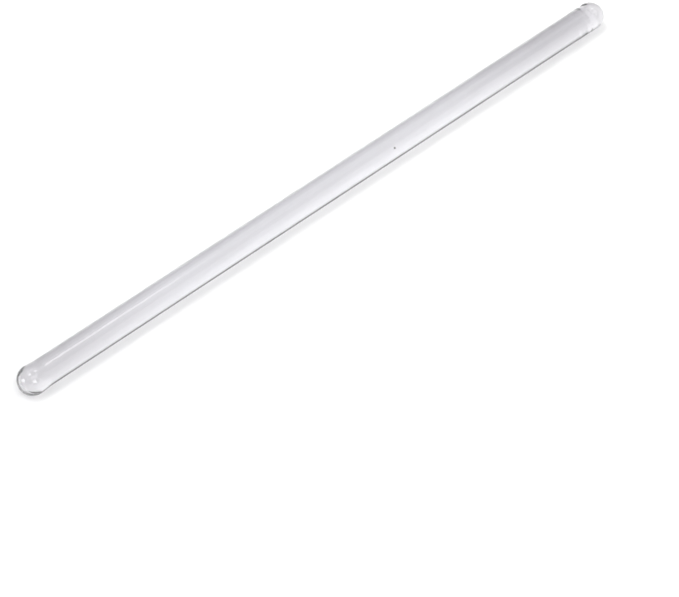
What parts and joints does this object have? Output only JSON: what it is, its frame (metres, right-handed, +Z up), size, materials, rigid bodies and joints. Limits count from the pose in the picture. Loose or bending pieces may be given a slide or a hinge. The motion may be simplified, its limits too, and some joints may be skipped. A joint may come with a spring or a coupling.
{
  "type": "glass stirring rod",
  "caption": "Straight round rod of clear glass for stirring by hand, with both ends melted round into slightly wider beads.",
  "frame": {"origin": "on the rod's axis, halfway along its length", "axes": "+X along the rod; +Y and +Z across it, with +Z up for the rod lying level. The rod is the same turned end for end and at any turn about X."},
  "size_m": [0.2, 0.0074, 0.0074],
  "materials": {
    "clear_glass": "clear colourless drawn glass cane with flame-polished ends; faint draw lines along its length"
  },
  "bodies": {
    "root": {"rod": "clear_glass"}
  },
  "joints": []
}
